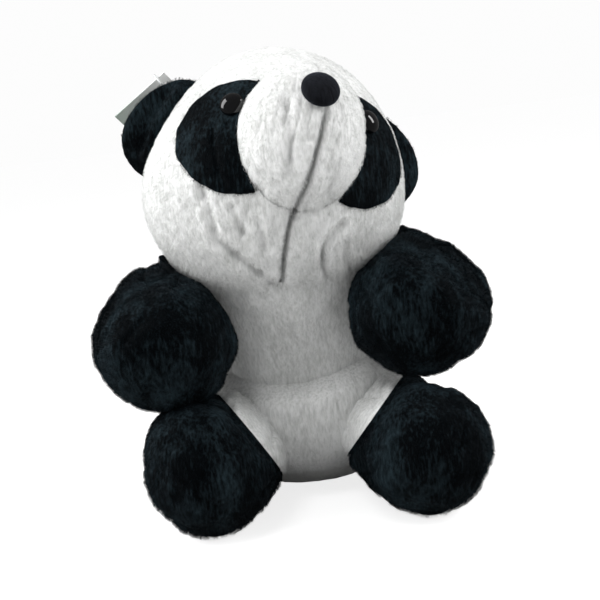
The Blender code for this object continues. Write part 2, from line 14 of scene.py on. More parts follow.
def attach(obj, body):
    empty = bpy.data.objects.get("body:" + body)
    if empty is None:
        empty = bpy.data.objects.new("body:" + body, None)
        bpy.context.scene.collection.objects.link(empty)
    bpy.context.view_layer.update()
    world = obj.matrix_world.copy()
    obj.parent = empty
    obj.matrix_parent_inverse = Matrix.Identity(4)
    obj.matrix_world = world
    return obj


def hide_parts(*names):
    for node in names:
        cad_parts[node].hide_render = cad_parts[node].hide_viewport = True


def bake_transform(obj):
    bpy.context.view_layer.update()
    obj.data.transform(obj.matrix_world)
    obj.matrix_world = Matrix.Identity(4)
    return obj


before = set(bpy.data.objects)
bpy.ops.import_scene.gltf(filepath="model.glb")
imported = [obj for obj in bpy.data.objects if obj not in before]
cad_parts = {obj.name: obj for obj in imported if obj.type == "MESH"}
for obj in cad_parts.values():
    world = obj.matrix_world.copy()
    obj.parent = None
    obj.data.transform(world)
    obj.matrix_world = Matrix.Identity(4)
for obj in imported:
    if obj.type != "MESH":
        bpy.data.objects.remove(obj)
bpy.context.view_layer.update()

LEFT, RIGHT = 1, -1
SIDES = ((LEFT, "left"), (RIGHT, "right"))

# The CAD's driving dimensions: half sizes along X, Y and Z, and angles in degrees
TORSO_HALF = (0.080, 0.070, 0.082)
TORSO_CENTRE = (0.0, 0.006, 0.068)
TORSO_FULLNESS = 0.85
YOKE_HEM_Z = 0.104
NECK_PIVOT = np.array((-0.003, -0.012, 0.143))
NECK_RADIUS = 0.030
HEAD_CENTRE = np.array((-0.0054, -0.030, 0.2264))
HEAD_TURN = (15.8, -20.0, 15.2)
HEAD_HALF = (0.0905, 0.090, 0.079, 0.0915)   # sideways, in front, behind and upwards
TEMPLE = (0.12, 30.0, 100.0, 28.0)           # share it is dented by, spread, azimuth and elevation
MUZZLE_CENTRE = np.array((0.0, -0.078, 0.002))
MUZZLE_HALF = np.array((0.0415, 0.045, 0.048))
MUZZLE_LIFT = 0.25
PATCH_CENTRE = (0.0375, 0.003)
PATCH_HALF = (0.0395, 0.0415)
EYE_DIRECTION = (30.4, 12.7)
EYE_SEAT = 0.0922
EYE_RADIUS = 0.0085
EYE_HEIGHT = 0.0055
NOSE_SEAT = np.array((0.0015, -0.1237, 0.0192))
NOSE_TILT = 16.0
NOSE_RADIUS = 0.0124
NOSE_HEIGHT = 0.0062
EAR_DIRECTION = (102.0, 23.5)
EAR_REACH = 0.0795
EAR_HALF_CHORD = 0.039
EAR_HEIGHT = 0.031
EAR_HALF_THICKNESS = 0.007
EAR_SLANT = 8.0
ARM_PATH = {
    LEFT: ((0.064, 0.022, 0.130), (0.115, -0.010, 0.162), (0.085, -0.092, 0.1365)),
    RIGHT: ((-0.064, 0.022, 0.130), (-0.115, -0.010, 0.158), (-0.0935, -0.092, 0.1345)),
}
ARM_RADII = (0.033, 0.040, 0.0455)
LEG_PATH = {
    LEFT: ((0.050, -0.036, 0.046), (0.062, -0.085, 0.042), (0.0725, -0.117, 0.044)),
    RIGHT: ((-0.050, -0.036, 0.046), (-0.060, -0.080, 0.042), (-0.071, -0.108, 0.044)),
}
LEG_RADII = (0.040, 0.040, 0.044)
THIGH_SEAM = {LEFT: ((0.739, -0.213, -0.639), 0.0106), RIGHT: ((-0.841, -0.202, -0.502), 0.0222)}
TAIL_PIVOT = np.array((0.0, 0.070, 0.034))
TAIL_HALF = (0.021, 0.022, 0.019)

# What the cloth adds to the CAD's shapes
CHEEK = (0.0036, 38.0, 95.0, -14.0)       # how far it bulges, spread, azimuth and elevation
MUZZLE_FILLET = 0.007                     # the step over which the muzzle and the face run together
PATCH_TOP = 0.93                          # height of a patch's upper half, as a share of its lower half's
UNDER_PATCH = 0.0024                      # how far the face is sunk under each eye's patch
EAR_STRETCH = {LEFT: 1.20, RIGHT: 1.04}   # how far each ear stands out, as a share of the CAD's
EAR_SLIDE = {LEFT: 0.006, RIGHT: 0.0}     # how much lower than the CAD's each ear is sewn on
EAR_TAPER = 0.17                          # each ear is this share deeper at its lower end
CROTCH_LIFT = 0.020                       # how far off the floor the belly's lower edge is in front
PAW_BULGE = {LEFT: 0.007, RIGHT: 0.006}          # each paw is this much fuller on its inner side
PAW_DROP = {LEFT: 0.30, RIGHT: 0.75}             # how much of that fullness hangs below
SHOULDER_SLOPE = {LEFT: 0.016, RIGHT: 0.010}     # each arm slopes off this much towards its outer top
SLOPE_TOWARDS = {LEFT: (0.60, -0.05, 0.80), RIGHT: (-0.42, -0.05, 0.90)}
THIGH_BULGE = {LEFT: 0.002, RIGHT: 0.008}        # each leg is this much fuller towards its outer top
BULGE_TOWARDS = {LEFT: (0.28, -0.05, 0.96), RIGHT: (-0.28, -0.05, 0.96)}
SEAM_DEPTH = 0.0036
SEAM_WIDTH = 0.0019
PILE_LENGTH = 0.0024
PILE_PARENTS = 90000                      # combed hairs on each square metre
PILE_CHILDREN = 16                        # hairs grown between them, for each one
HAIR_STRETCH = 4.0                        # Blender's hair is this many times its starting speed long
BODY_ROOM, LEG_ROOM, ARM_ROOM = 0.0065, 0.0095, 0.0130    # between the cloth and its filling

# The camera: its place in metres and degrees, and its lens in millimetres
CAMERA_TARGET = Vector((0.0024, -0.040, 0.140))
CAMERA_DISTANCE = 0.900
CAMERA_ELEVATION = 10.0
CAMERA_ROLL = -7.0
CAMERA_LENS = 76.2


def add_object(name, data):
    thing = bpy.data.objects.new(name, data)
    bpy.context.scene.collection.objects.link(thing)
    return thing


def make_camera():
    elevation = math.radians(CAMERA_ELEVATION)
    back = Vector((0.0, -math.cos(elevation), math.sin(elevation)))
    data = bpy.data.cameras.new("camera")
    data.lens = CAMERA_LENS
    data.clip_start = 0.05
    camera = add_object("camera", data)
    aim = (-back).to_track_quat("-Z", "Y").to_matrix().to_4x4()
    roll = Matrix.Rotation(math.radians(CAMERA_ROLL), 4, "Z")
    camera.matrix_world = Matrix.Translation(CAMERA_TARGET + back * CAMERA_DISTANCE) @ aim @ roll
    bpy.context.scene.camera = camera


# Noise and small vector helpers, all over arrays of points
def lattice(cell, seed):
    """A random number from -1 to 1 for each whole-numbered cell."""
    mixed = (cell @ np.array((374761393, 668265263, 1440662683)) + seed * 1274126177) & 0xFFFFFFFF
    mixed = ((mixed ^ (mixed >> 13)) * 1274126177) & 0xFFFFFFFF
    mixed = mixed ^ (mixed >> 16)
    return (mixed & 0xFFFF) / 32767.5 - 1.0


def noise(points, size, seed):
    """Smooth value noise from -1 to 1, with one cell for every size along each axis."""
    scaled = points / np.asarray(size, float)
    base = np.floor(scaled).astype(np.int64)
    part = scaled - base
    part = part * part * part * (part * (part * 6 - 15) + 10)
    total = np.zeros(len(points))
    for corner in range(8):
        step = np.array((corner & 1, (corner >> 1) & 1, (corner >> 2) & 1))
        weight = np.prod(np.where(step == 1, part, 1 - part), axis=1)
        total += weight * lattice(base + step, seed)
    return total


def layered(points, size, seed, layers=3):
    total = np.zeros(len(points))
    for layer in range(layers):
        total += noise(points, np.asarray(size, float) / 2 ** layer, seed + layer * 17) / 2 ** layer
    return total / 1.6


def creases(points, size, seed, sharp):
    """Thin valleys where a smooth noise crosses zero: 1 in a valley, 0 away from it."""
    return np.exp(-(noise(points, size, seed) * sharp) ** 2)


def smooth_step(value, low, high):
    share = np.clip((value - low) / (high - low), 0, 1)
    return share * share * (3 - 2 * share)


def lengths(vectors):
    return np.maximum(np.linalg.norm(vectors, axis=-1, keepdims=True), 1e-12)


def normalised(vectors):
    return vectors / lengths(vectors)


def bump(value, width):
    """1 where the value is zero, and falling to nothing over a few widths."""
    return np.exp(-(value / width) ** 2)


def curve(start, middle, end, share):
    """The curve from start to end that is steered by a middle point."""
    return start * (1 - share) ** 2 + middle * 2 * share * (1 - share) + end * share ** 2


def full_turn(count):
    return np.linspace(0, 2 * math.pi, count, endpoint=False)


def halve(count, low, high, still_low, rounds):
    """Close in, by halving, on the value at which still_low turns false, for each of count rows."""
    low, high = np.full(count, low), np.full(count, high)
    for _ in range(rounds):
        middle = (low + high) / 2
        below = still_low(middle)
        low, high = np.where(below, middle, low), np.where(below, high, middle)
    return low, high


def direction(azimuth, elevation):
    turn, rise = math.radians(azimuth), math.radians(elevation)
    return np.array((math.sin(turn) * math.cos(rise), -math.cos(turn) * math.cos(rise), math.sin(rise)))


def spot(unit, spread, azimuth, elevation):
    """1 in one direction, falling to nothing a few spreads away from it."""
    cosine = np.clip(unit @ direction(azimuth, elevation), -1, 1)
    return bump(np.degrees(np.arccos(cosine)), spread)


def turn_matrix(degrees, axis):
    return np.array(Matrix.Rotation(math.radians(degrees), 3, axis))


HEAD_ROTATION = (turn_matrix(HEAD_TURN[0], "Z") @ turn_matrix(HEAD_TURN[1], "X")
                 @ turn_matrix(HEAD_TURN[2], "Y"))


def head_to_world(points):
    return points @ HEAD_ROTATION.T + HEAD_CENTRE


def world_to_head(points):
    return (points - HEAD_CENTRE) @ HEAD_ROTATION


def distance_to_line(points, line):
    """Each point's distance to a line of corners, all as 2-D points."""
    nearest = np.full(len(points), 1e9)
    for start, end in zip(line[:-1], line[1:]):
        start, end = np.array((start, end), float)
        along = end - start
        share = np.clip(((points - start) @ along) / max(along @ along, 1e-12), 0, 1)
        nearest = np.minimum(nearest, np.linalg.norm(points - start - share[:, None] * along, axis=1))
    return nearest


# Meshes
def ball_grid(count):
    """Unit directions spread evenly over a ball, and its outward four-sided faces."""
    t = np.tan(np.linspace(-math.pi / 4, math.pi / 4, count + 1))
    a, b = np.meshgrid(t, t, indexing="ij")
    one = np.ones_like(a)
    sides = [(one, a, b), (-one, b, a), (b, one, a), (a, -one, b), (a, b, one), (b, a, -one)]
    points, faces = [], []
    index = np.arange((count + 1) ** 2).reshape(count + 1, count + 1)
    quads = np.stack([index[:-1, :-1], index[1:, :-1], index[1:, 1:], index[:-1, 1:]], axis=-1)
    quads = quads.reshape(-1, 4)
    for number, side in enumerate(sides):
        points.append(np.stack(side, axis=-1).reshape(-1, 3))
        faces.append(quads + number * (count + 1) ** 2)
    points = normalised(np.concatenate(points))
    faces = np.concatenate(faces)
    _, first, inverse = np.unique(np.round(points * 1e6).astype(np.int64), axis=0, return_index=True,
                                  return_inverse=True)
    return points[first], inverse.reshape(-1)[faces]


def strip_grid(rows, columns, closed):
    """Faces of a grid of points, rows by columns, that may close on itself along its columns."""
    index = np.arange(rows * columns).reshape(rows, columns)
    nxt = np.roll(index, -1, axis=1) if closed else index[:, 1:]
    now = index if closed else index[:, :-1]
    return np.stack([now[:-1], nxt[:-1], nxt[1:], now[1:]], axis=-1).reshape(-1, 4)


def normals(points, faces):
    a, b, c, d = (points[faces[:, i]] for i in range(4))
    face = np.cross(c - a, d - b)
    total = np.zeros_like(points)
    for i in range(4):
        np.add.at(total, faces[:, i], face)
    return normalised(total)


def face_away(points, faces, away):
    """The faces turned so that they face the way that away points, with their normals."""
    out = normals(points, faces)
    if (out * away).sum() < 0:
        return faces[:, ::-1], -out
    return faces, out


def keep_faces(points, faces, wanted):
    """Only the faces whose every corner is wanted, with the loose points dropped."""
    faces = faces[wanted[faces].all(axis=1)]
    used = np.unique(faces)
    place = np.full(len(points), -1)
    place[used] = np.arange(len(used))
    return points[used], place[faces], used


def widen(wanted, faces):
    """The wanted points and the others that share a face with them."""
    wide = wanted.copy()
    wide[faces[wanted[faces].any(axis=1)]] = True
    return wide


def make_piece(name, points, faces, look, shade=None):
    """A smooth mesh. Its shade, one value a point, is 1 in the open and less at the bottom of a fold."""
    material, slot = look
    mesh = bpy.data.meshes.new(name)
    mesh.from_pydata(points.tolist(), [], faces.tolist())
    mesh.shade_smooth()
    corners = np.zeros(len(mesh.loops), dtype=np.int32)
    mesh.loops.foreach_get("vertex_index", corners)
    value = np.ones(len(points)) if shade is None else np.clip(shade, 0, 1)
    colours = np.repeat(value[corners][:, None], 4, axis=1)
    colours[:, 3] = 1.0
    layer = mesh.color_attributes.new("shade", "BYTE_COLOR", "CORNER")
    layer.data.foreach_set("color", colours.ravel())
    piece = add_object(name, mesh)
    mesh.materials.append(material)
    return piece


# Looks: each is a material and the name of its slot
def new_material(name):
    material = bpy.data.materials.new(name)
    material.use_nodes = True
    tree = material.node_tree
    return material, tree, tree.nodes["Principled BSDF"]


def set_inputs(node, values):
    for name, value in values.items():
        node.inputs[name].default_value = value


def math_node(tree, operation, source, factor):
    node = tree.nodes.new("ShaderNodeMath")
    node.operation = operation
    node.inputs[1].default_value = factor
    tree.links.new(source, node.inputs[0])
    return node


def ramp(tree, source, stops):
    node = tree.nodes.new("ShaderNodeValToRGB")
    while len(node.color_ramp.elements) < len(stops):
        node.color_ramp.elements.new(0.5)
    for element, (place, colour) in zip(node.color_ramp.elements, stops):
        element.position = place
        element.color = (*colour, 1.0)
    tree.links.new(source, node.inputs["Fac"])
    return node.outputs["Color"]


def noise_node(tree, scale, detail, stretch=(1.0, 1.0, 1.0), roughness=0.6, turn=(0.0, 0.0, 0.0)):
    place = tree.nodes.new("ShaderNodeTexCoord")
    mapping = tree.nodes.new("ShaderNodeMapping")
    set_inputs(mapping, {"Scale": stretch, "Rotation": turn})
    node = tree.nodes.new("ShaderNodeTexNoise")
    set_inputs(node, {"Scale": scale, "Detail": detail, "Roughness": roughness})
    tree.links.new(place.outputs["Object"], mapping.inputs["Vector"])
    tree.links.new(mapping.outputs["Vector"], node.inputs["Vector"])
    return node.outputs["Fac"]


def plush_look(name, dark, light, sheen, sheen_tint, between=(0.36, 0.62), sheen_blotches=0.55):
    """Short pile: thin streaks of nap, painted sheen in soft patches where the pile lies the other way, and a
    fine bump.
    """
    material, tree, shader = new_material(name)
    link = tree.links.new
    nap = noise_node(tree, 520.0, 3.0, (1.0, 1.0, 0.25), 0.65, (0.0, 0.35, 0.0))
    # Soft patches of painted sheen where the pile lies the other way
    brushed_sheen = noise_node(tree, 38.0, 3.0, (1.0, 1.0, 0.6), 0.55)
    mix = math_node(tree, "MULTIPLY_ADD", brushed_sheen, sheen_blotches)
    streaks = math_node(tree, "MULTIPLY", nap, 1.0 - sheen_blotches)
    link(streaks.outputs[0], mix.inputs[2])
    # The base colour is multiplied by the piece's shade colour: painted shade in folds and seams
    shade = tree.nodes.new("ShaderNodeVertexColor")
    shade.layer_name = "shade"
    shaded = tree.nodes.new("ShaderNodeMix")
    shaded.data_type = "RGBA"
    shaded.blend_type = "MULTIPLY"
    shaded.inputs["Factor"].default_value = 1.0
    pile = ramp(tree, mix.outputs[0], ((between[0], dark), (between[1], light)))
    link(pile, shaded.inputs["A"])
    link(shade.outputs["Color"], shaded.inputs["B"])
    link(shaded.outputs["Result"], shader.inputs["Base Color"])
    set_inputs(shader, {"Roughness": 0.92, "Specular IOR Level": 0.15, "Sheen Weight": sheen,
                        "Sheen Roughness": 0.45, "Sheen Tint": (*sheen_tint, 1.0)})
    relief = tree.nodes.new("ShaderNodeBump")
    set_inputs(relief, {"Strength": 0.6, "Distance": 0.0012})
    link(nap, relief.inputs["Height"])
    link(relief.outputs["Normal"], shader.inputs["Normal"])
    return material, name


def plain_look(name, colour, roughness):
    material, tree, shader = new_material(name)
    grain = noise_node(tree, 900.0, 2.0)
    low = tuple(channel * 0.92 for channel in colour)
    tree.links.new(ramp(tree, grain, ((0.35, low), (0.65, colour))), shader.inputs["Base Color"])
    shader.inputs["Roughness"].default_value = roughness
    return material, name


def card_look():
    """Pale card, darkened to a grey green towards its outer side by painted shade and a painted green
    reflection.
    """
    material, tree, shader = new_material("tag_card")
    place = tree.nodes.new("ShaderNodeTexCoord")
    split = tree.nodes.new("ShaderNodeSeparateXYZ")
    tree.links.new(place.outputs["Generated"], split.inputs["Vector"])
    # The grey green end is painted shade and painted green reflection on the pale card
    stops = ((0.0, (0.50, 0.60, 0.53)), (0.45, (0.84, 0.86, 0.84)), (0.9, (0.97, 0.97, 0.96)))
    tree.links.new(ramp(tree, split.outputs["X"], stops), shader.inputs["Base Color"])
    shader.inputs["Roughness"].default_value = 0.45
    return material, "tag_card"


WHITE = plush_look("white_plush", (0.67, 0.68, 0.665), (0.93, 0.935, 0.93), 0.15, (1.0, 1.0, 1.0),
                   (0.36, 0.58), 0.30)
BLACK = plush_look("black_plush", (0.0004, 0.0013, 0.0020), (0.030, 0.052, 0.064), 0.03,
                   (0.45, 0.75, 1.0), (0.47, 0.80), 0.50)
STUFFING = plush_look("polyester_stuffing", (0.72, 0.72, 0.70), (0.86, 0.86, 0.85), 0.1, (1.0, 1.0, 1.0))
NOSE_FLOCK = plush_look("flocked_black_plastic", (0.0025, 0.0025, 0.0035), (0.009, 0.010, 0.013), 0.12,
                        (0.6, 0.7, 0.9))
EYE_PLASTIC = plain_look("black_gloss_plastic", (0.0012, 0.0012, 0.0016), 0.03)
WASHER_PLASTIC = plain_look("natural_plastic", (0.75, 0.74, 0.70), 0.4)
CARD = card_look()
LOOP_PLASTIC = plain_look("clear_loop_plastic", (0.85, 0.87, 0.87), 0.2)


# The CAD's own shapes, over arrays of unit directions
def torso_surface(unit, grow=0.0):
    polar = np.arccos(np.clip(-unit[:, 2], -1, 1))
    flat = normalised(unit[:, :2])
    share = np.sin(polar) ** TORSO_FULLNESS
    x = flat[:, 0] * (TORSO_HALF[0] + grow) * share
    y = flat[:, 1] * (TORSO_HALF[1] + grow) * share + TORSO_CENTRE[1]
    z = TORSO_CENTRE[2] - np.cos(polar) * (TORSO_HALF[2] + grow)
    return np.stack([x, y, np.maximum(z, 0.0)], axis=1)


def torso_polar(height):
    """The angle at which the torso's surface is at a height, from 0 at its lowest point."""
    return np.arccos(np.clip((TORSO_CENTRE[2] - height) / TORSO_HALF[2], -1, 1))


def head_radius(unit):
    depth = np.where(unit[:, 1] < 0, HEAD_HALF[1], HEAD_HALF[2])
    radius = 1 / np.sqrt((unit[:, 0] / HEAD_HALF[0]) ** 2 + (unit[:, 1] / depth) ** 2
                         + (unit[:, 2] / HEAD_HALF[3]) ** 2)
    dent, spread, azimuth, elevation = TEMPLE
    for side in (LEFT, RIGHT):
        radius *= 1 - dent * spot(unit, spread, side * azimuth, elevation)
    return radius


def muzzle_reach(unit):
    """How far from the head's centre each direction leaves the muzzle, or zero where it misses."""
    def inside(points):
        offset = points - MUZZLE_CENTRE
        upright = offset[:, 2].copy()
        for _ in range(4):
            share = np.clip(np.abs(upright / MUZZLE_HALF[2]), 0, 1)
            upright = offset[:, 2] + MUZZLE_LIFT * np.minimum(offset[:, 1], 0) * (1 - 0.4 * share)
        return ((offset[:, 0] / MUZZLE_HALF[0]) ** 2 + (offset[:, 1] / MUZZLE_HALF[1]) ** 2
                + (upright / MUZZLE_HALF[2]) ** 2) < 1

    steps = np.linspace(0.150, 0.040, 56)
    reach = np.zeros(len(unit))
    for far, near in zip(steps[:-1], steps[1:]):
        hit = (reach == 0) & inside(unit * near)
        if hit.any():
            within = halve(hit.sum(), near, far, lambda radius: inside(unit[hit] * radius[:, None]), 14)
            reach[hit] = within[0]
    return reach


def limb_surface(unit, path, radii, grow=0.0):
    """A limb along a curved path, with a round cap at its root and at its end."""
    root_share, end_share = 0.27, 0.30
    polar = np.arccos(np.clip(-unit[:, 2], -1, 1)) / math.pi
    turn = np.arctan2(unit[:, 1], unit[:, 0])
    root, bend, end = np.array(path)
    share = np.clip((polar - root_share) / (1 - root_share - end_share), 0, 1)[:, None]
    centre = curve(root, bend, end, share)
    axis = normalised((bend - root) * (1 - share) + (end - bend) * share)
    side = normalised(np.cross(axis, (0.0, 0.0, 1.0)))
    radial = side * np.cos(turn)[:, None] + np.cross(axis, side) * np.sin(turn)[:, None]
    radius = curve(*radii, share) + grow
    near = np.clip(polar / root_share, 0, 1)[:, None] * math.pi / 2
    far = np.clip((1 - polar) / end_share, 0, 1)[:, None] * math.pi / 2
    forward = np.where(share <= 0, -np.cos(near), np.where(share >= 1, np.cos(far), 0.0))
    outward = np.where(share <= 0, np.sin(near), np.where(share >= 1, np.sin(far), 1.0))
    return centre + axis * radius * forward + radial * radius * outward


def clear_of_head(points, room):
    """The points, with those nearer than room to the head moved away from it."""
    away = points - HEAD_CENTRE
    return HEAD_CENTRE + away * np.maximum(1, (HEAD_HALF[0] + room) / lengths(away))


def tufts(points, seed, amount):
    """Small uneven tufts of pile, moved along the surface's normal."""
    fine = noise(points, 0.0032, seed) + 0.5 * noise(points, 0.0017, seed + 5)
    broad = layered(points, 0.022, seed + 9)
    return amount * (0.35 * fine + 0.9 * broad)


PILE_SETTINGS = {
    "type": "HAIR", "use_advanced_hair": True, "hair_step": 3, "render_step": 2, "child_type": "INTERPOLATED",
    "child_percent": 0, "rendered_child_count": PILE_CHILDREN, "clump_factor": 0.35, "roughness_1": 0.0004,
    "roughness_1_size": 0.004, "roughness_2": 0.0004, "radius_scale": 0.00011, "tip_radius": 0.35,
}


def grow_pile(piece, nap, seed, length=PILE_LENGTH, bare=None):
    """Short hairs over a piece, combed towards nap, with none where bare is true."""
    mesh = piece.data
    piece.modifiers.new("pile", "PARTICLE_SYSTEM")
    system = piece.particle_systems[0]
    system.seed = seed
    settings = system.settings
    settings.name = piece.name + "_pile"
    for setting, value in PILE_SETTINGS.items():
        setattr(settings, setting, value)
    area = sum(polygon.area for polygon in mesh.polygons)
    settings.count = int(area * PILE_PARENTS)
    settings.normal_factor = length * 0.60 / HAIR_STRETCH
    settings.object_align_factor = Vector(nap).normalized() * length * 0.55 / HAIR_STRETCH
    settings.factor_random = length * 0.22 / HAIR_STRETCH
    if bare is not None:
        group = piece.vertex_groups.new(name="pile")
        group.add([int(number) for number in np.flatnonzero(~bare)], 1.0, "REPLACE")
        system.vertex_group_density = "pile"


# Head
SEAM_HEIGHTS = (-0.089, -0.086, -0.072, -0.058, -0.049, -0.035, -0.013, 0.007, 0.021, 0.040)
SEAM_SIDEWAYS = (0.005, 0.002, -0.002, -0.003, -0.002, 0.001, 0.004, 0.006, 0.005, 0.002)
FOLDS = [      # each fold's line over the face in X and Z, its width and its depth
    ([(-0.061, -0.031), (-0.054, -0.045), (-0.046, -0.063), (-0.030, -0.073), (-0.018, -0.079),
      (0.001, -0.087)], 0.0022, 0.0020),
    ([(0.034, -0.048), (0.026, -0.056), (0.023, -0.064), (0.027, -0.073), (0.036, -0.080)], 0.0022, 0.0022),
    ([(-0.041, -0.045), (-0.035, -0.054), (-0.031, -0.060)], 0.0018, 0.0015),
    ([(0.038, -0.057), (0.042, -0.066), (0.050, -0.070)], 0.0020, 0.0013),
    ([(-0.024, -0.052), (-0.016, -0.068)], 0.0022, 0.0016),
]
MUZZLE_HOLLOW = [(-0.019, 0.016), (-0.017, 0.0), (-0.014, -0.012), (-0.013, -0.024)]


def bare_head(unit):
    """The head's radius with its cheeks, without the muzzle."""
    depth, spread, azimuth, elevation = CHEEK
    left, right = (depth * spot(unit, spread, side * azimuth, elevation) for side in (LEFT, RIGHT))
    return head_radius(unit) + (left + right)


def face_radius(unit):
    """The head with the muzzle run smoothly into it, and where the muzzle is on top."""
    head = bare_head(unit)
    muzzle = muzzle_reach(unit)
    share = np.clip(0.5 + 0.5 * (muzzle - head) / MUZZLE_FILLET, 0, 1)
    joined = head * (1 - share) + muzzle * share + MUZZLE_FILLET * share * (1 - share)
    return joined, muzzle > head


def muzzle_outline():
    """The muzzle's seam, as how far it lies from a middle direction along each spoke round it."""
    columns = 240
    middle = direction(0.0, 2.0)
    right = np.array((1.0, 0.0, 0.0))
    up = np.cross(right, -middle)
    turns = full_turn(columns)
    spokes = np.cos(turns)[:, None] * right + np.sin(turns)[:, None] * up

    def on_muzzle(angle):
        unit = middle * np.cos(angle)[:, None] + spokes * np.sin(angle)[:, None]
        return muzzle_reach(unit) > bare_head(unit)

    return middle, right, up, turns, halve(columns, 0.02, 0.95, on_muzzle, 24)[0]


MUZZLE_SEAM = muzzle_outline()


def from_muzzle_seam(unit):
    """How far over the face each direction is from the muzzle's seam: below zero on the muzzle."""
    middle, right, up, turns, angles = MUZZLE_SEAM
    turn = np.arctan2(unit @ up, unit @ right) % (2 * math.pi)
    edge = np.interp(turn, turns, angles, period=2 * math.pi)
    return (np.arccos(np.clip(unit @ middle, -1, 1)) - edge) * HEAD_HALF[0]


def seam_sideways(local):
    """How far the centre seam wanders to the side at each height of the face."""
    front = smooth_step(-local[:, 1], 0.0, 0.045)
    return np.interp(local[:, 2], SEAM_HEIGHTS, SEAM_SIDEWAYS) * front


def head_relief(local):
    """How far the face's cloth is moved in or out by its seams, folds and wrinkles."""
    front = smooth_step(-local[:, 1], 0.0, 0.03)
    flat = local[:, [0, 2]]
    seam = np.abs(local[:, 0] - seam_sideways(local))
    below_nose = smooth_step(-local[:, 2], -0.012, 0.004) * smooth_step(local[:, 2], -0.089, -0.082)
    seen = 0.35 + 0.65 * front * below_nose
    move = -SEAM_DEPTH * bump(seam, SEAM_WIDTH) * seen + 0.0005 * bump(seam - 0.005, 0.003) * seen
    puckers = np.sin(local[:, 2] * 850 + 3 * noise(local, 0.012, 41)) * bump(seam - 0.006, 0.005)
    move += 0.00045 * puckers * front * below_nose
    around = from_muzzle_seam(normalised(local))
    lower = 0.25 + 0.75 * smooth_step(-local[:, 2], 0.010, 0.035)
    move -= 0.0006 * bump(around, 0.0030) * lower * front
    for line, width, depth in FOLDS:
        fold = distance_to_line(flat, line)
        move += (-depth * bump(fold, width) + 0.5 * depth * bump(fold - 2 * width, width)) * front
    chin = smooth_step(-local[:, 2], 0.010, 0.045) * front
    hang = local @ turn_matrix(12, "Y")
    move -= 0.0009 * chin * creases(hang, (0.009, 0.03, 0.034), 12, 4.5)
    move -= 0.0006 * chin * creases(local @ turn_matrix(38, "Y"), (0.008, 0.02, 0.026), 23, 4.5)
    return move + tufts(local, 3, 0.0006)


def hollow_shade(local, move, strength, width):
    """Less light reaches the pile at the bottom of a fold, and least of all in the centre seam."""
    seam = bump(local[:, 0] - seam_sideways(local), width)
    seam *= smooth_step(-local[:, 2], -0.012, 0.004) * smooth_step(local[:, 2], -0.091, -0.085)
    return (1 - 0.34 * smooth_step(-move, 0.0009, 0.0034)) * (1 - strength * seam * (local[:, 1] < 0))


def make_head_cloth():
    unit, faces = ball_grid(116)
    radius, under = face_radius(unit)
    radius = np.where(under & (from_muzzle_seam(unit) < -0.0012), bare_head(unit) - 0.0025, radius)
    whole = unit * radius[:, None]
    patched = in_patch(whole, LEFT) | in_patch(whole, RIGHT)
    whole = np.where((patched & ~under)[:, None], unit * (radius - UNDER_PATCH)[:, None], whole)
    whole[:, 0] += seam_sideways(whole) * bump(whole[:, 0], 0.03)
    for side, word in SIDES:
        points, kept, used = keep_faces(whole, faces, unit[:, 0] * side > -1e-6)
        edge = np.abs(unit[used, 0]) < 1e-6
        out = normals(points, kept)
        out[edge, 0] = 0.0
        move = head_relief(points)
        shade = hollow_shade(points, move, 0.45, 0.0016)
        points = points + out * move[:, None]
        piece = make_piece(f"head_{word}_cloth", head_to_world(points), kept, WHITE, shade)
        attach(piece, "head")
        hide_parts(f"head_{word}_skin")
        line = (np.abs(points[:, 0] - seam_sideways(points)) < 0.0013) & (points[:, 2] > -0.086)
        bare = (under | patched)[used] | (line & (points[:, 1] < 0))
        grow_pile(piece, (0.0, 0.0, -1.0), bare=bare, seed=11)


def make_muzzle_cloth():
    rows, columns = 74, 210
    middle, right, up, turns, angles = MUZZLE_SEAM
    around = full_turn(columns)
    edge = np.interp(around, turns, angles, period=2 * math.pi)
    shares = np.linspace(0, 1, rows)
    tilt = shares[:, None] * (edge + 0.012)[None, :]
    spoke = np.cos(around)[:, None] * right + np.sin(around)[:, None] * up
    unit = (middle * np.cos(tilt)[..., None] + spoke[None] * np.sin(tilt)[..., None]).reshape(-1, 3)
    rim = smooth_step(from_muzzle_seam(unit), 0.0008, 0.0020)
    radius, _ = face_radius(unit)
    points = unit * (radius - 0.0026 * rim)[:, None]
    faces, out = face_away(points, strip_grid(rows, columns, True), unit)
    hollow = distance_to_line(points[:, [0, 2]], MUZZLE_HOLLOW)
    move = head_relief(points) - 0.0016 * bump(hollow, 0.0035)
    move -= 0.0009 * creases(points @ turn_matrix(8, "Y"), (0.007, 0.02, 0.024), 57, 4.5)
    shade = hollow_shade(points, move, 0.26, 0.0026)
    points = points + out * move[:, None]
    piece = make_piece("muzzle_cloth", head_to_world(points), faces, WHITE, shade)
    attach(piece, "head")
    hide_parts("muzzle_skin")
    grow_pile(piece, (0.0, 0.15, -1.0), bare=rim > 0.5, seed=12)


def in_patch(local, side):
    """Whether a point of the face lies under an eye's patch."""
    x = (local[:, 0] * side - PATCH_CENTRE[0]) / PATCH_HALF[0]
    above = local[:, 2] - PATCH_CENTRE[1]
    z = above / np.where(above > 0, PATCH_HALF[1] * PATCH_TOP, PATCH_HALF[1])
    return (x ** 2 + z ** 2 < 0.93) & (local[:, 1] < 0)


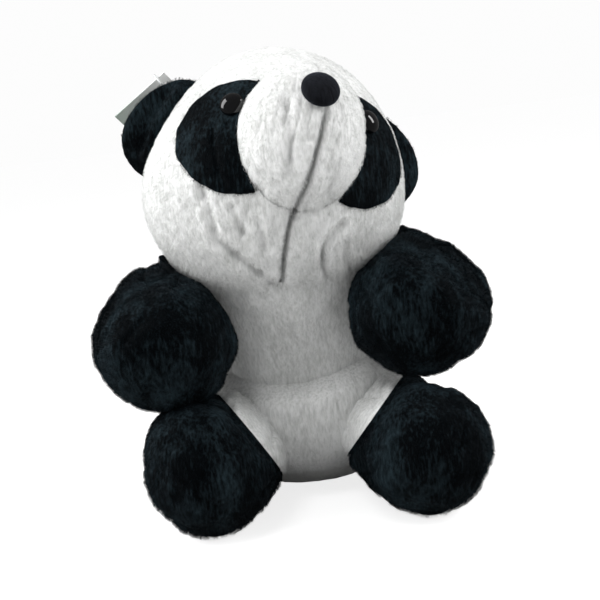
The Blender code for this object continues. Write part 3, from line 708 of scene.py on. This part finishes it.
def make_patches():
    """Black cloth over the face, in an oval that the muzzle's seam cuts off."""
    rows, columns = 46, 150
    centre = np.array((0.052, 0.004))
    turns = full_turn(columns)
    rise = PATCH_HALF[1] * np.sin(turns)
    rise *= np.where(rise > 0, PATCH_TOP, 1.0)
    outline = np.stack([PATCH_CENTRE[0] + PATCH_HALF[0] * np.cos(turns), PATCH_CENTRE[1] + rise], axis=1)
    outline *= 1 + 0.010 * np.sin(turns * 9 + 1.0)[:, None] * np.sin(turns * 4)[:, None]
    for side, word in SIDES:
        def to_unit(reach):
            flat = centre + (outline - centre) * reach[..., None]
            depth = np.sqrt(np.maximum(HEAD_HALF[0] ** 2 - (flat ** 2).sum(axis=-1), 1e-6))
            return normalised(np.stack([flat[..., 0] * side, -depth, flat[..., 1]], axis=-1))

        def on_face(reach):
            return from_muzzle_seam(to_unit(reach)) >= -0.0004

        ends = halve(columns, 0.0, 1.0, on_face, 22)[1]
        shares = np.linspace(0, 1, rows)
        unit = to_unit(shares[:, None] * ends[None, :]).reshape(-1, 3)
        rim = smooth_step(np.repeat(shares, columns), 0.955, 1.0)
        radius = face_radius(unit)[0] + 0.0011 - 0.0030 * rim
        points = unit * radius[:, None]
        faces, out = face_away(points, strip_grid(rows, columns, True), unit)
        dart = distance_to_line(points[:, [0, 2]] * np.array((side, 1.0)),
                                [(0.056, 0.006), (0.056, -0.003), (0.051, -0.026), (0.047, -0.032)])
        around = from_muzzle_seam(unit)
        move = tufts(points, 61, 0.0006) - 0.0011 * bump(dart, 0.0018) - 0.0012 * bump(around, 0.0016)
        points = points + out * move[:, None]
        piece = make_piece(f"eye_patch_{word}_cloth", head_to_world(points), faces, BLACK)
        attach(piece, "head")
        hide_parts(f"eye_patch_{word}")
        grow_pile(piece, (0.25 * side, 0.0, -1.0), length=0.0016, seed=13)


def seat_frame(seat, outward):
    """A rotation whose third column is outward and whose second is as upright as can be, and the seat."""
    z = normalised(outward)
    x = normalised(np.cross((0.0, 0.0, 1.0), z))
    return np.stack([x, np.cross(z, x), z], axis=1), seat


def turned_piece(name, profile, frame_and_seat, look, node):
    """A profile of radii and heights turned about the line that stands on its seat."""
    columns = 72
    rotation, seat = frame_and_seat
    turns = full_turn(columns)
    radius, height = np.array(profile).T
    points = np.stack([radius[:, None] * np.cos(turns), radius[:, None] * np.sin(turns),
                       np.repeat(height[:, None], columns, axis=1)], axis=-1).reshape(-1, 3)
    faces = strip_grid(len(profile), columns, True)
    piece = make_piece(name, head_to_world(points @ rotation.T + seat), faces[:, ::-1], look)
    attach(piece, "head")
    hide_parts(node)
    return piece


def make_eyes_and_nose():
    for side, word in SIDES:
        outward = direction(side * EYE_DIRECTION[0], EYE_DIRECTION[1])
        place = seat_frame(outward * EYE_SEAT, outward)
        dome = [(0.00001, EYE_HEIGHT)]
        dome += [(EYE_RADIUS * 0.95 * math.cos(rise), 0.0008 + (EYE_HEIGHT - 0.0008) * math.sin(rise))
                 for rise in np.radians(np.linspace(86, 6, 22))]
        rim = [(EYE_RADIUS * 0.965, 0.0002), (EYE_RADIUS * 0.94, -0.0008),
               (0.0024, -0.0012), (0.0020, -0.0016), (0.0020, -0.0140), (0.00001, -0.0142)]
        turned_piece(f"eye_{word}_dome", dome + rim, place, EYE_PLASTIC, f"eye_{word}")
    place = seat_frame(NOSE_SEAT, direction(0.0, NOSE_TILT))
    dome = [(0.00001, NOSE_HEIGHT)]
    dome += [(NOSE_RADIUS * math.cos(rise) ** 0.9, NOSE_HEIGHT * math.sin(rise))
             for rise in np.radians(np.linspace(86, 0, 24))]
    rim = [(NOSE_RADIUS * 0.985, -0.0012), (NOSE_RADIUS * 0.93, -0.0022),
           (0.0026, -0.0026), (0.0021, -0.0032), (0.0021, -0.0140), (0.00001, -0.0142)]
    turned_piece("nose_flocked", dome + rim, place, NOSE_FLOCK, "nose")


# Ears
def ear_frame(side):
    """Rotation whose columns run along the ear's seam, backwards and outwards, and the seam's middle."""
    outward = direction(side * EAR_DIRECTION[0], EAR_DIRECTION[1])
    slant = math.radians(EAR_SLANT)
    upright = np.array((0.0, -math.sin(slant), math.cos(slant)))
    along = normalised(upright - outward * (upright @ outward)) * -side
    return np.stack([along, np.cross(outward, along), outward], axis=1), outward * EAR_REACH


def ear_lens(unit, drawn_in, half_thickness, depth):
    """A thin lens on the ear's seam, with its edge drawn in, and sunk to a depth in the head."""
    height = np.where(unit[:, 2] > 0, EAR_HEIGHT - drawn_in[1], depth)
    return np.stack([unit[:, 0] * (EAR_HALF_CHORD - drawn_in[0]), unit[:, 1] * half_thickness,
                     unit[:, 2] * height], axis=1)


def ear_bend(base, front):
    """Curl the ear forward at its rim, and dish its front."""
    rise = np.clip(base[:, 2] / EAR_HEIGHT, 0, 1.25)
    width = np.abs(base[:, 0]) / EAR_HALF_CHORD
    dish = np.clip(1 - ((base[:, 0] / 0.027) ** 2 + ((base[:, 2] - 0.013) / 0.017) ** 2), 0, 1)
    bent = base.copy()
    bent[:, 1] += 0.0046 * dish * front - 0.004 * rise ** 2 - 0.003 * width ** 2 * rise
    return bent


def make_ears():
    unit, faces = ball_grid(44)
    base = ear_lens(unit, (0.0, 0.0), EAR_HALF_THICKNESS, EAR_HALF_THICKNESS)
    for side, word in SIDES:
        rotation, seat = ear_frame(side)
        low_end = base[:, 0] * side / EAR_HALF_CHORD
        shaped = base.copy()
        shaped[:, 2] *= EAR_STRETCH[side] * (1 + EAR_TAPER * low_end)
        for panel, sign in (("front", -1), ("back", 1)):
            points, kept, used = keep_faces(ear_bend(shaped, sign < 0), faces, unit[:, 1] * sign > -1e-6)
            edge = np.abs(unit[used, 1]) < 1e-6
            out = normals(points, kept)
            out[edge, 1] = 0.0
            fold = distance_to_line(points[:, [0, 2]], [(-0.026, 0.009), (0.0, 0.013), (0.026, 0.009)])
            move = tufts(points + side, 81, 0.0006) - 0.0010 * edge
            if sign < 0:
                move = move + 0.0042 * bump(fold, 0.0034)
            points = points + out * move[:, None] + np.array((EAR_SLIDE[side], 0.0, 0.0))
            placed = head_to_world(points @ rotation.T + seat)
            piece = make_piece(f"ear_{word}_{panel}_cloth", placed, kept, BLACK)
            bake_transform(piece)
            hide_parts(f"ear_{word}_{panel}_skin")
            grow_pile(piece, (-0.4 * side, 0.0, 1.0), length=0.0020, seed=21)


# Body
WAIST = [(-0.068, 0.094), (-0.028, 0.088), (0.0, 0.088), (0.030, 0.094), (0.068, 0.101)]
BELLY_SEAM = [(-0.003, 0.120), (-0.003, 0.090), (-0.006, 0.050), (-0.007, 0.012)]


def torso_relief(points):
    front = smooth_step(-points[:, 1], 0.0, 0.03)
    above = points[:, 2] - np.interp(points[:, 0], *zip(*WAIST))
    belly = smooth_step(-above, -0.002, 0.016)
    paunch = belly * bump(points[:, 0], 0.055)
    move = (0.0030 * belly + 0.0115 * paunch - 0.0045 * bump(above - 0.003, 0.010)) * front
    seam = distance_to_line(points[:, [0, 2]], BELLY_SEAM)
    move -= 0.0015 * bump(seam, 0.0020) * front
    chest = front * smooth_step(points[:, 2], 0.07, 0.10)
    move -= 0.0010 * chest * creases(points, (0.02, 0.03, 0.012), 31, 5.0)
    move -= 0.0008 * creases(points, (0.012, 0.012, 0.034), 37, 5.0)
    return move + tufts(points, 33, 0.0008)


def make_torso():
    rows, columns = 96, 120
    panels = (("torso_front", WHITE, (-90.0, 90.0), (0.0, 0.135)),
              ("torso_back", WHITE, (90.0, 270.0), (0.0, YOKE_HEM_Z)),
              ("shoulder_yoke", BLACK, (90.0, 270.0), (YOKE_HEM_Z, 0.149)))
    for name, look, (first, last), (low, high) in panels:
        azimuth = np.radians(np.linspace(first, last, columns))
        bottom = torso_polar(low) if low > 0 else 0.0
        top = torso_polar(high)
        grids = np.meshgrid(np.linspace(bottom, top, rows), azimuth, indexing="ij")
        polar, turn = (grid.reshape(-1) for grid in grids)
        across = np.sin(polar)
        unit = np.stack([across * np.sin(turn), -across * np.cos(turn), -np.cos(polar)], axis=-1)
        points = torso_surface(unit)
        faces, out = face_away(points, strip_grid(rows, columns, False), points * (1.0, 1.0, 0.0))
        edge = np.minimum(turn - azimuth[0], azimuth[-1] - turn) * 0.075
        if low > 0:
            edge = np.minimum(edge, (polar - bottom) * TORSO_HALF[2])
        if name == "torso_back":
            edge = np.minimum(edge, (top - polar) * TORSO_HALF[2])
        move = torso_relief(points) - 0.0020 * bump(edge, 0.0018)
        flat = smooth_step(points[:, 2], 0.0, 0.004)
        points = points + out * (move * flat)[:, None]
        tucked = smooth_step(-points[:, 1], 0.0, 0.040) * np.clip(1 - points[:, 2] / 0.055, 0, 1) ** 1.5
        points[:, 2] = np.maximum(points[:, 2], 0.0) + CROTCH_LIFT * tucked
        piece = make_piece(name + "_cloth", points, faces, look)
        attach(piece, "torso")
        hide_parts(name + "_skin")
        grow_pile(piece, (0.0, 0.0, -1.0), bare=points[:, 2] < PILE_LENGTH, seed=31)


def make_neck():
    """The cloth from the chest to the chin: an upper part, and a lower part that is white in front and black
    behind.
    """
    axis = normalised(HEAD_CENTRE - NECK_PIVOT)
    across = normalised(np.cross((0.0, 1.0, 0.0), axis))
    ahead = np.cross(across, axis)
    columns, rows = 180, 41
    turns = full_turn(columns)
    spoke = np.sin(turns)[:, None] * across + np.cos(turns)[:, None] * ahead
    forward = np.clip(-spoke[:, 1], 0, 1)
    head_base = NECK_PIVOT + axis * (0.026 + 0.010 * forward)[:, None]
    torso_base = NECK_PIVOT - axis * (0.024 + 0.030 * forward)[:, None]

    def in_head(radius):
        local = world_to_head(head_base + spoke * radius[:, None])
        length = np.linalg.norm(local, axis=1)
        return length < head_radius(local / length[:, None]) - 0.0010

    def in_torso(radius):
        point = torso_base + spoke * radius[:, None]
        share = np.maximum(np.sin(torso_polar(point[:, 2])), 1e-6) ** TORSO_FULLNESS
        return ((point[:, 0] / (TORSO_HALF[0] * share)) ** 2
                + ((point[:, 1] - TORSO_CENTRE[1]) / (TORSO_HALF[1] * share)) ** 2) < 1

    head_reach = halve(columns, 0.0, 0.11, in_head, 24)[0]
    torso_reach = halve(columns, 0.0, 0.09, in_torso, 24)[0]
    head_ring = head_base + spoke * head_reach[:, None]
    torso_ring = torso_base + spoke * (torso_reach - 0.0010 - 0.0035 * forward)[:, None]
    waist = 0.5 * (head_reach + torso_reach) * (0.90 + 0.07 * forward)
    middle_ring = NECK_PIVOT + spoke * waist[:, None]
    steer = 2 * middle_ring - 0.5 * (head_ring + torso_ring)
    share = np.linspace(0, 1, rows)[:, None, None]
    points = curve(torso_ring, steer, head_ring, share).reshape(-1, 3)
    faces, out = face_away(points, strip_grid(rows, columns, True), points - NECK_PIVOT)
    gathers = creases(points, (0.009, 0.02, 0.03), 93, 4.5)
    points = points + out * (tufts(points, 91, 0.0008) - 0.0012 * gathers - 0.0005)[:, None]
    row = np.repeat(np.arange(rows), columns)
    behind = np.tile(spoke[:, 1] > 0.25, rows)
    middle = rows // 2
    below = row <= middle
    upper, lower = ("neck", "head"), ("torso", "neck")
    for name, look, wanted, bodies, reach in (
            ("neck_upper_cloth", WHITE, row >= middle, upper, (0.0, 0.020)),
            ("neck_lower_cloth", WHITE, below & ~behind, lower, (-0.020, 0.0)),
            ("neck_back_cloth", BLACK, below & widen(behind, faces), lower, (-0.020, 0.0))):
        part, kept, _ = keep_faces(points, faces, wanted)
        piece = make_piece(name, part, kept, look)
        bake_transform(piece)
        grow_pile(piece, (0.0, 0.0, -1.0), seed=32)


# Limbs and tail
def limb_relief(points, seed, drawn_in):
    """How far a limb's cloth is moved in or out by lumps, dents, wrinkles and tufts."""
    broad = layered(points, 0.040, seed, 2)
    dents = creases(points, (0.030, 0.030, 0.022), seed + 3, 3.5)
    wrinkles = creases(points @ turn_matrix(35, "Y"), (0.012, 0.030, 0.024), seed + 7, 5.0)
    return tufts(points, seed, 0.0009) + 0.0018 * (broad - 0.9 * dents - 0.8 * wrinkles) - drawn_in


def limb_axis(path):
    """A limb's root, and the direction in which it leaves the body."""
    root, bend = np.array(path[:2])
    return root, normalised(bend - root)


def arm_surface(unit, faces, side, grow=0.0):
    """The CAD's arm, with its paw fuller on the inner side and sloping off on the outer side."""
    path = ARM_PATH[side]
    points = clear_of_head(limb_surface(unit, path, ARM_RADII, grow), 0.0045 - grow)
    out = normals(points, faces)
    inwards = np.array((-side * math.sqrt(1 - PAW_DROP[side] ** 2), 0.0, -PAW_DROP[side]))
    near_paw = smooth_step(np.linalg.norm(points - np.array(path[2]), axis=1), 0.085, 0.035)
    move = PAW_BULGE[side] * near_paw * np.clip(out @ inwards, 0, 1)
    root, axis = limb_axis(path)
    past_root = smooth_step((points - root) @ axis, 0.010, 0.068)
    move -= SHOULDER_SLOPE[side] * smooth_step(out @ SLOPE_TOWARDS[side], 0.25, 1.0) * past_root
    return points + out * move[:, None]


def make_arms():
    unit, faces = ball_grid(72)
    for side, word in SIDES:
        path = ARM_PATH[side]
        points = arm_surface(unit, faces, side)
        out = normals(points, faces)
        move = limb_relief(points, 101 + side, -0.0008)
        points = clear_of_head(points + out * move[:, None], 0.0078)
        root, axis = limb_axis(path)
        points, kept, _ = keep_faces(points, faces, (points - root) @ axis > -0.026)
        piece = make_piece(f"arm_{word}_cloth", points, kept, BLACK)
        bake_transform(piece)
        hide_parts(f"arm_{word}_skin")
        grow_pile(piece, np.array(path[2]) - path[0], seed=41)


def slide_to_plane(points, faces, normal, over):
    """Move the points that are over a plane back onto it, along the surface."""
    out = normals(points, faces)
    along = normal - out * (out @ normal)[:, None]
    step = np.clip(over, 0, None) / np.maximum(along @ normal, 0.2)
    return points - along * step[:, None]


def make_legs():
    unit, faces = ball_grid(72)
    for side, word in SIDES:
        path = LEG_PATH[side]
        points = limb_surface(unit, path, LEG_RADII)
        out = normals(points, faces)
        normal = normalised(np.array(THIGH_SEAM[side][0]))
        seam = points @ normal - THIGH_SEAM[side][1]
        resting = smooth_step(points[:, 2], 0.0, 0.004)
        move = limb_relief(points, 131 + side, 0.0006) - 0.0018 * bump(seam, 0.0018)
        move -= 0.0045 * smooth_step(-seam, 0.003, 0.028)
        full = smooth_step(out @ BULGE_TOWARDS[side], 0.30, 1.0)
        move += THIGH_BULGE[side] * full * smooth_step(seam, 0.0, 0.020)
        points = points + out * (move * resting)[:, None]
        points[:, 2] = np.maximum(points[:, 2], 0.0)
        root, axis = limb_axis(path)
        seam = points @ normal - THIGH_SEAM[side][1]
        outside = (points - root) @ axis > -0.030
        for name, look, facing in ((f"leg_{word}", BLACK, 1), (f"thigh_{word}", WHITE, -1)):
            part, kept, used = keep_faces(points, faces, widen(seam * facing > 0, faces) & outside)
            part = slide_to_plane(part, kept, -facing * normal, -facing * seam[used])
            piece = make_piece(name + "_cloth", part, kept, look)
            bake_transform(piece)
            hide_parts(name + "_skin")
            grow_pile(piece, (0.3 * side, -0.4, -1.0), bare=part[:, 2] < PILE_LENGTH, seed=42)


def make_tail():
    unit, faces = ball_grid(32)
    points = unit * np.array(TAIL_HALF) + np.array((0.0, TAIL_HALF[1] * 0.35, 0.0)) + TAIL_PIVOT
    out = normals(points, faces)
    points = points + out * tufts(points, 171, 0.0009)[:, None]
    points, faces, _ = keep_faces(points, faces, points[:, 1] > TAIL_PIVOT[1] - 0.008)
    piece = make_piece("tail_cloth", points, faces, WHITE)
    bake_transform(piece)
    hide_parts("tail_skin")
    grow_pile(piece, (0.0, 0.5, -1.0), seed=43)


def make_fillings():
    """Lumpy fibre stuffing a little inside each skin."""
    unit, faces = ball_grid(28)
    shapes = {
        "torso": torso_surface(unit, -BODY_ROOM),
        "neck": unit * (NECK_RADIUS - 0.001) + NECK_PIVOT,
        "head": head_to_world(unit * (head_radius(unit) - BODY_ROOM)[:, None]),
        "tail": unit * (np.array(TAIL_HALF) - BODY_ROOM) + np.array((0.0, 0.0077, 0.0)) + TAIL_PIVOT,
    }
    local = unit * (MUZZLE_HALF - BODY_ROOM)
    local[:, 2] -= MUZZLE_LIFT * np.minimum(local[:, 1], 0) * (1 - np.abs(unit[:, 2]) * 0.4)
    shapes["muzzle"] = head_to_world(local + MUZZLE_CENTRE)
    for side, word in SIDES:
        shapes[f"arm_{word}"] = arm_surface(unit, faces, side, -ARM_ROOM)
        shapes[f"leg_{word}"] = limb_surface(unit, LEG_PATH[side], LEG_RADII, -LEG_ROOM)
        rotation, seat = ear_frame(side)
        flat = ear_lens(unit, (0.005, 0.004), 0.0012, EAR_HALF_THICKNESS - 0.003)
        flat[:, 1] += 0.0022 * np.clip(flat[:, 2] / 0.010, 0, 1)
        bent = ear_bend(flat, 0.2) + np.array((EAR_SLIDE[side], 0.0, 0.0))
        shapes[f"ear_{word}"] = head_to_world(bent @ rotation.T + seat)
    for name, points in shapes.items():
        body = "head" if name == "muzzle" else name
        out = normals(points, faces)
        points = points + out * (0.0007 * layered(points, 0.012, 7))[:, None] * ("ear" not in name)
        points[:, 2] = np.maximum(points[:, 2], 0.001)
        piece = make_piece(name + "_filling_fibre", points, faces, STUFFING)
        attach(piece, body)
        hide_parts(name + "_filling")


def finish_cad_nodes():
    """The hard pieces that keep the CAD's own meshes get their materials."""
    looks = {"eye_left_washer": WASHER_PLASTIC, "eye_right_washer": WASHER_PLASTIC,
             "nose_washer": WASHER_PLASTIC, "hang_tag_card": CARD, "hang_tag_loop": LOOP_PLASTIC}
    for node, (material, _) in looks.items():
        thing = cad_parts[node]
        thing.data.materials.clear()
        thing.data.materials.append(material)


# Stage
def ray_switch(tree, others, camera, glossy):
    """A strength that differs for camera rays, for glossy reflections and for all other light."""
    path = tree.nodes.new("ShaderNodeLightPath")
    strength = None
    for output, extra in (("Is Camera Ray", camera - others), ("Is Glossy Ray", glossy - others)):
        node = math_node(tree, "MULTIPLY_ADD", path.outputs[output], extra)
        node.inputs[2].default_value = others
        if strength is not None:
            tree.links.new(strength, node.inputs[2])
        strength = node.outputs[0]
    return strength


def make_stage():
    bpy.ops.mesh.primitive_plane_add(size=12.0, location=(0.0, 0.0, 0.0))
    floor = bpy.context.object
    floor.name = "floor"
    material, tree, shader = new_material("floor_paint")
    set_inputs(shader, {"Base Color": (0.60, 0.60, 0.60, 1.0), "Roughness": 0.9,
                        "Emission Color": (1.0, 1.0, 1.0, 1.0)})
    tree.links.new(ray_switch(tree, 0.0, 0.79, 0.0), shader.inputs["Emission Strength"])
    floor.data.materials.append(material)
    floor.visible_glossy = False
    world = bpy.data.worlds.new("studio")
    world.use_nodes = True
    background = world.node_tree.nodes["Background"]
    background.inputs["Color"].default_value = (1.0, 1.0, 1.0, 1.0)
    strength = ray_switch(world.node_tree, 0.32, 0.98, 0.20)
    world.node_tree.links.new(strength, background.inputs["Strength"])
    bpy.context.scene.world = world
    bpy.context.scene.view_settings.view_transform = "Standard"

    def area(name, place, size, power):
        data = bpy.data.lights.new(name, "AREA")
        data.shape = "RECTANGLE"
        data.size, data.size_y = size
        data.energy = power
        light = add_object(name, data)
        light.location = place
        light.visible_glossy = name.endswith("glint")
        aim = Vector((0.0, -0.03, 0.18)) - Vector(place)
        light.rotation_euler = aim.to_track_quat("-Z", "Y").to_euler()

    area("key", (-0.30, -0.70, 1.20), (0.5, 0.5), 3.9)
    area("left", (-1.00, -0.55, 0.55), (0.7, 0.7), 4.8)
    area("right", (1.00, -0.50, 0.60), (0.7, 0.7), 4.2)
    area("left_glint", (-1.10, 0.02, 0.95), (0.60, 1.10), 12.0)
    area("right_glint", (1.15, -0.12, 0.88), (0.32, 0.80), 7.0)


make_camera()
make_head_cloth()
make_muzzle_cloth()
make_patches()
make_eyes_and_nose()
make_ears()
make_torso()
make_neck()
make_arms()
make_legs()
make_tail()
make_fillings()
finish_cad_nodes()
make_stage()
